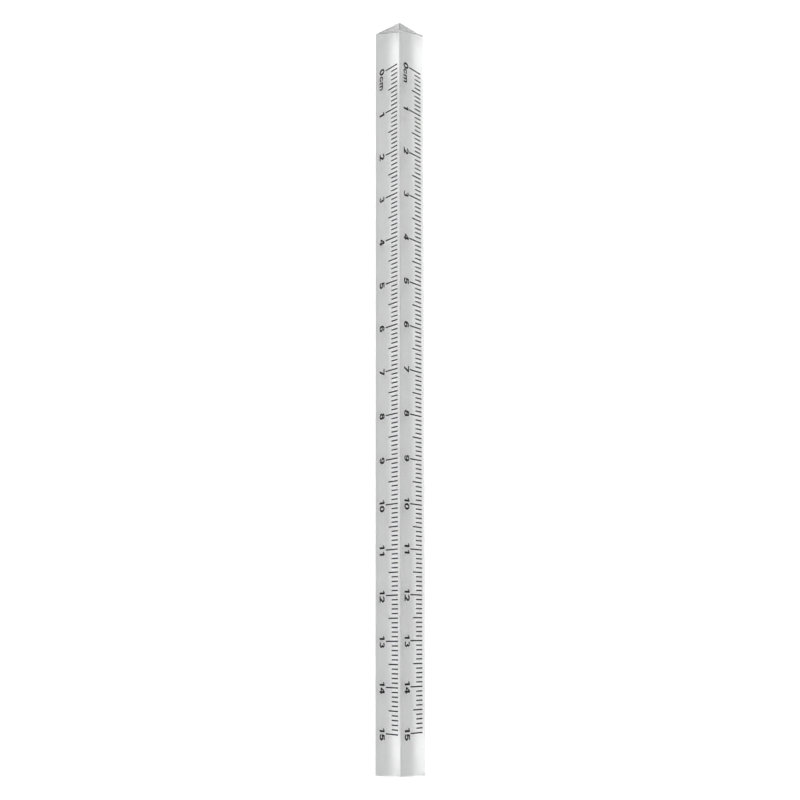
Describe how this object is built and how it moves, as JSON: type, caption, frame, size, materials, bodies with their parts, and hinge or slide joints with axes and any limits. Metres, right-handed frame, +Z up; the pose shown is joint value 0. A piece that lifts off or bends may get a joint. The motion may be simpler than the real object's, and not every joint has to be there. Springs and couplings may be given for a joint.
{
  "type": "triangular scale ruler",
  "caption": "Solid clear triangular ruler bar, lying on one plain face, with a centimetre and millimetre scale printed in black on its two upper faces.",
  "frame": {"origin": "centre of the plain face that the ruler rests on", "axes": "+X along the scale from the zero mark to the 15 cm mark, +Z up through the upper long edge, -Y towards the printed face whose ticks start at that upper edge"},
  "size_m": [0.1698, 0.0112, 0.0097],
  "materials": {
    "clear_plastic": "clear colourless acrylic, polished faces, index about 1.49",
    "black_ink": "black screen-printed ink"
  },
  "bodies": {
    "root": {"ruler_body": "clear_plastic", "front_millimetre_ticks": "black_ink", "front_half_centimetre_ticks": "black_ink", "front_centimetre_ticks": "black_ink", "front_numerals": "black_ink", "front_unit_label": "black_ink", "rear_millimetre_ticks": "black_ink", "rear_half_centimetre_ticks": "black_ink", "rear_centimetre_ticks": "black_ink", "rear_numerals": "black_ink", "rear_unit_label": "black_ink"}
  },
  "joints": []
}
